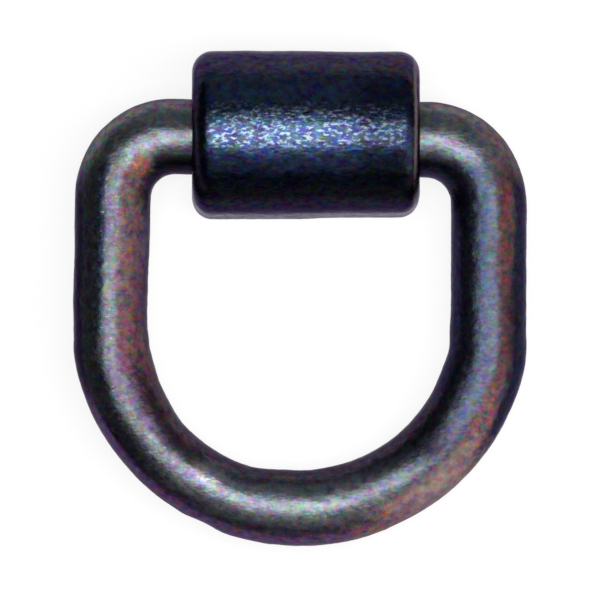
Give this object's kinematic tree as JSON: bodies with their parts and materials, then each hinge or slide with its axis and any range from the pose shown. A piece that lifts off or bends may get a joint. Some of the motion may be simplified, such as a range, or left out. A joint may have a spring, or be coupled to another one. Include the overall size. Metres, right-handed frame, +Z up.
{
  "type": "weld-on d-ring",
  "caption": "Closed D-shaped ring of round steel bar that swings in a half-round forged saddle clip with two flat feet for welding down.",
  "frame": {"origin": "middle of the footprint of the clip and the lying ring together, on the surface that the clip's feet are welded to", "axes": "+Z up from that surface; the ring's straight bar runs along X through the clip; +Y from the bow of the lying ring towards the clip"},
  "size_m": [0.1154, 0.1262, 0.0318],
  "materials": {
    "clip_steel": "satin",
    "ring_steel": "satin"
  },
  "bodies": {
    "clip": {"weld_clip": "clip_steel"},
    "ring": {"d_ring": "ring_steel"}
  },
  "joints": [
    {"name": "ring_swing", "type": "hinge", "parent": "clip", "child": "ring", "pos_m": [0, 0.04065, 0.00953], "axis": [-1, 0, 0], "range_deg": [0, 180]}
  ]
}
